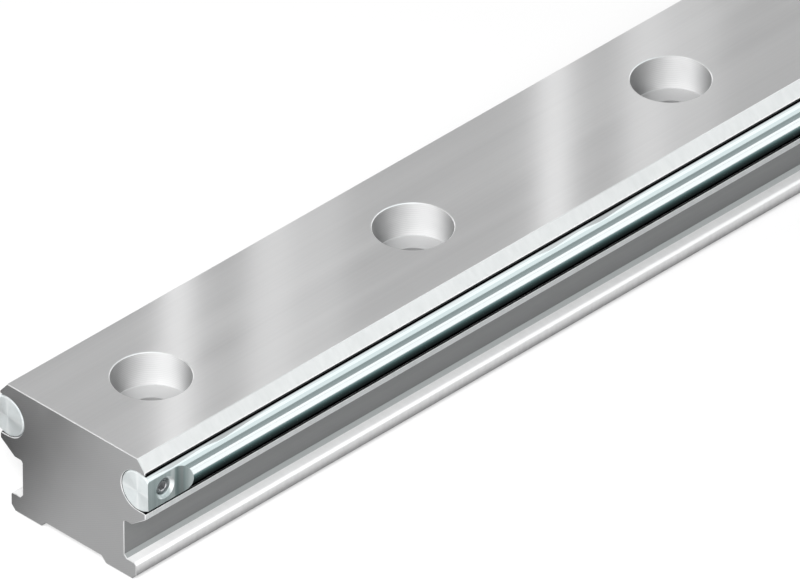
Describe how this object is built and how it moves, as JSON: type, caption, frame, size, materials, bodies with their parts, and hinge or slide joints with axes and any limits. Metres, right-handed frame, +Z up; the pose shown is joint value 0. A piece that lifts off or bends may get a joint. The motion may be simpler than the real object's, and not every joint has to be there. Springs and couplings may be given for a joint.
{
  "type": "cam roller guide rail",
  "caption": "Extruded aluminium guide rail with a round steel rod let into each flank for grooved track rollers, screwed down through counterbored holes in its top face.",
  "frame": {"origin": "middle of the mounting plane, under the middle of the rail", "axes": "+X along the rail towards its rear end, +Y across it towards the left rod, +Z up out of the face with the counterbores"},
  "size_m": [0.448, 0.05, 0.0325],
  "materials": {
    "extrusion": "satin, as extruded and clear anodised",
    "rod_steel": "ground and polished",
    "screw_steel": "plain, dark grey from heat treatment"
  },
  "bodies": {
    "root": {"rail_body": "extrusion", "rod_left": "rod_steel", "rod_right": "rod_steel", "set_screw_left_front": "screw_steel", "set_screw_left_rear": "screw_steel", "set_screw_right_front": "screw_steel", "set_screw_right_rear": "screw_steel"}
  },
  "joints": []
}
